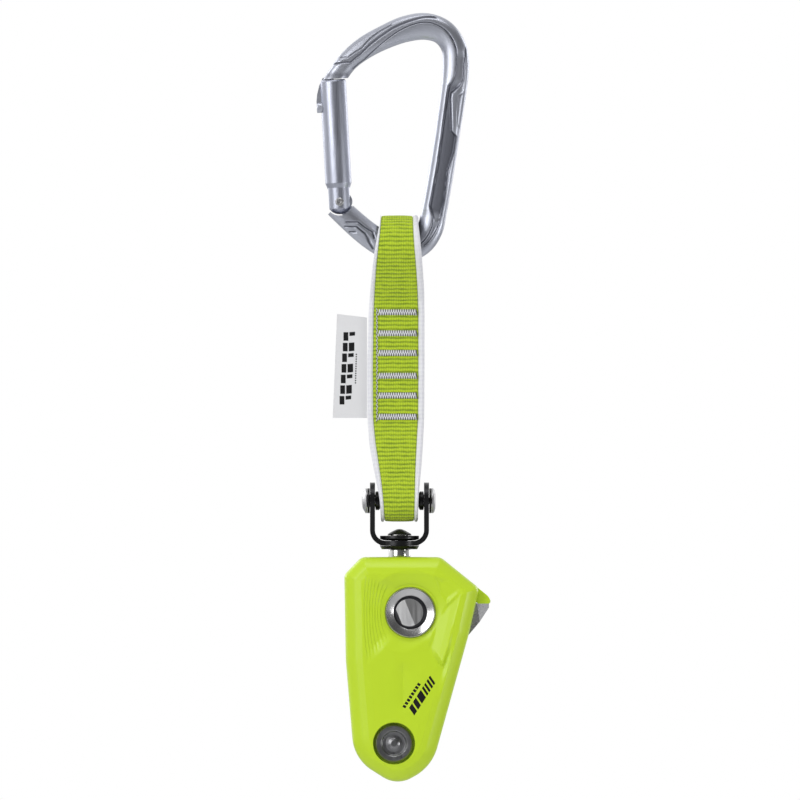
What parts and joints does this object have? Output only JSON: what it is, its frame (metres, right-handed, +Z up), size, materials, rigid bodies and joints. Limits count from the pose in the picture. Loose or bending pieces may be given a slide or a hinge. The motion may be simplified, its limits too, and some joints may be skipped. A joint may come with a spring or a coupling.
{
  "type": "assisted braking belay device",
  "caption": "Assisted-braking belay resistor: moulded lime housing with a V groove and a swing-open side, hung by a swivel fork and a sewn sling from a solid-gate carabiner.",
  "frame": {"origin": "the underside of the carabiner's crown, straight above the swivel, which is where the device hangs", "axes": "+Z up along the load line, +X to the right as seen from the side with the button, +Y away from that side"},
  "size_m": [0.0694, 0.0348, 0.3072],
  "materials": {
    "carabiner_aluminium": "forged, blue-grey anodised, satin",
    "webbing": "ribbed woven polyamide with white selvedges",
    "tag": "pale woven label",
    "liner_rubber": "black, matt",
    "polymer_bush": "self-lubricating",
    "black_steel": "black coated steel",
    "bright_steel": "turned, bright",
    "button_steel": "turned, fine brushed",
    "satin_steel": "stamped stainless, satin",
    "dark_steel": "dark coated steel",
    "lime_moulding": "moulded, soft gloss",
    "spring_steel": "drawn wire"
  },
  "bodies": {
    "carabiner": {"carabiner_body": "carabiner_aluminium", "gate_rivet": "bright_steel"},
    "gate": {"carabiner_gate": "carabiner_aluminium", "gate_spring": "spring_steel"},
    "gate_plunger": {"gate_plunger": "bright_steel"},
    "sling": {"sling_webbing": "webbing", "sling_tag": "tag", "bar_liner": "liner_rubber", "pin_sleeve": "polymer_bush"},
    "fork": {"fork": "black_steel", "fork_pin": "bright_steel", "pin_screw": "bright_steel", "pin_washer_left": "black_steel", "pin_washer_right": "black_steel", "pin_bush_left": "black_steel", "pin_bush_right": "black_steel", "swivel_bush": "polymer_bush", "upper_swivel_washer": "black_steel", "lower_swivel_washer": "black_steel"},
    "rear_side": {"swivel_stem": "bright_steel", "stem_pin": "bright_steel", "head_block": "satin_steel", "head_block_screw_1": "dark_steel", "head_block_screw_2": "dark_steel", "rear_plate": "satin_steel", "rear_cover": "lime_moulding", "rear_cover_screw_1": "dark_steel", "rear_cover_screw_2": "dark_steel", "rear_jaw": "bright_steel", "rear_jaw_screw_1": "dark_steel", "rear_jaw_screw_2": "dark_steel", "latch_post": "satin_steel", "latch_post_screw": "bright_steel", "latch_spring": "spring_steel", "lower_axle": "dark_steel", "axle_spacer": "bright_steel", "axle_washer": "bright_steel", "axle_nut": "dark_steel"},
    "latch_pin": {"latch_pin": "bright_steel"},
    "front_side": {"front_plate": "satin_steel", "front_cover": "lime_moulding", "front_cover_screw_1": "dark_steel", "front_cover_screw_2": "dark_steel", "front_jaw": "bright_steel", "front_jaw_screw_1": "dark_steel", "front_jaw_screw_2": "dark_steel", "lock_ring": "bright_steel"},
    "lock_button": {"lock_button": "button_steel", "button_spring": "spring_steel"}
  },
  "joints": [
    {"name": "gate_open", "type": "hinge", "parent": "carabiner", "child": "gate", "pos_m": [-0.024, 0, -0.0631], "axis": [0, 1, 0], "range_deg": [0, 28], "stiffness_Nm_per_rad": 0.15, "springref_deg": -20.05},
    {"name": "plunger_slide", "type": "slide", "parent": "gate", "child": "gate_plunger", "axis": [-0.055, 0, 0.9985], "range_m": [0, 0.0009], "deforming": ["gate_spring"]},
    {"name": "sling_swing", "type": "hinge", "parent": "carabiner", "child": "sling", "pos_m": [0, 0, -0.0804], "axis": [1, 0, 0], "range_deg": [-50, 50]},
    {"name": "fork_tilt", "type": "hinge", "parent": "sling", "child": "fork", "pos_m": [0, 0, -0.1827], "axis": [1, 0, 0], "range_deg": [-75, 75]},
    {"name": "swivel_turn", "type": "hinge", "parent": "fork", "child": "rear_side", "pos_m": [0, 0, -0.1987], "axis": [0, 0, 1], "continuous": true},
    {"name": "front_swing", "type": "hinge", "parent": "rear_side", "child": "front_side", "pos_m": [-0.0022, 0, -0.2798], "axis": [0, 1, 0], "range_deg": [0, 130]},
    {"name": "button_press", "type": "slide", "parent": "front_side", "child": "lock_button", "axis": [0, 1, 0], "range_m": [0, 0.0018], "stiffness_N_per_m": 2500, "springref_m": -0.001, "deforming": ["button_spring"]},
    {"name": "latch_slide", "type": "slide", "parent": "rear_side", "child": "latch_pin", "axis": [0, 1, 0], "range_m": [0, 0.0018], "deforming": ["latch_spring"]}
  ],
  "couplings": [
    {"joint": "plunger_slide", "follows": "gate_open", "m_per_rad": 0.0017},
    {"joint": "latch_slide", "follows": "button_press", "ratio": 1}
  ]
}
